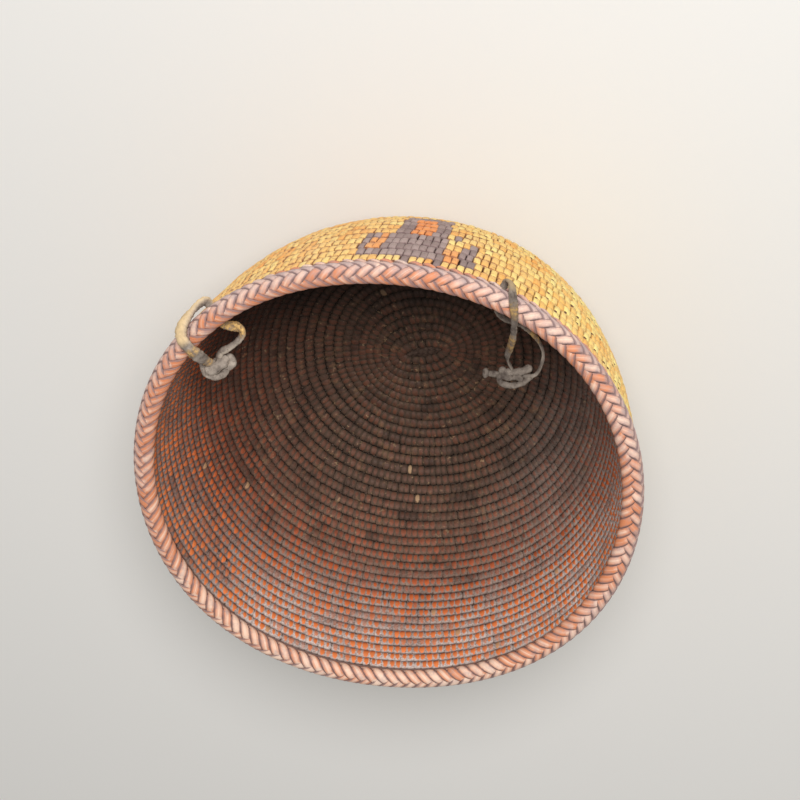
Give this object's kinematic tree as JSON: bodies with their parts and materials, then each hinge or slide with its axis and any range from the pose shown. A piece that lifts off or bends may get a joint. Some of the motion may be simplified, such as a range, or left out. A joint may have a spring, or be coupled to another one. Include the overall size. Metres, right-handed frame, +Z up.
{
  "type": "coiled basket",
  "caption": "Round coiled basket with a flat base, imbricated outside, false-braid rim and buckskin thong loops tied through the rim.",
  "frame": {"origin": "middle of the flat base, on the ground", "axes": "+Z up through the mouth; -Y towards the figure whose top shows in the picture"},
  "size_m": [0.2814, 0.2831, 0.1715],
  "materials": {
    "coil": "worn cedar root splints over a bundle coil",
    "rim": "plaited and overcast cedar root splints",
    "grass": "folded golden grass strips",
    "bark": "folded dark dyed bark strips",
    "cherry": "folded red-orange cherry bark strips",
    "thong": "dry buckskin strip with a torn orange edge"
  },
  "bodies": {
    "basket": {"base_coil": "coil", "lower_wall_coil": "coil", "upper_wall_coil": "coil", "rim_course": "rim", "rim_braid": "rim", "grass_field": "grass", "bark_figure_front": "bark", "bark_figure_right": "bark", "bark_figure_left": "bark", "bark_hook_front": "bark", "bark_hook_right": "bark", "bark_hook_left": "bark", "bark_bar_front": "bark", "bark_bar_right": "bark", "bark_bar_left": "bark", "cherry_inset_front": "cherry", "cherry_inset_right": "cherry", "cherry_inset_left": "cherry", "left_thong_rim_turn": "thong", "right_thong_rim_turn": "thong"},
    "left_loop": {"left_thong_outer_strand": "thong", "left_thong_inner_strand": "thong", "left_thong_knot": "thong"},
    "right_loop": {"right_thong_outer_strand": "thong", "right_thong_inner_strand": "thong", "right_thong_knot": "thong", "right_thong_tail": "thong"}
  },
  "joints": [
    {"name": "left_loop_swing", "type": "hinge", "parent": "basket", "child": "left_loop", "pos_m": [0.11317, -0.06406, 0.162], "axis": [0.4481, 0.5319, 0.7185], "range_deg": [-25, 30]},
    {"name": "right_loop_swing", "type": "hinge", "parent": "basket", "child": "right_loop", "pos_m": [-0.03451, -0.12495, 0.1611], "axis": [-0.6221, 0.2214, 0.751], "range_deg": [-30, 10]}
  ]
}
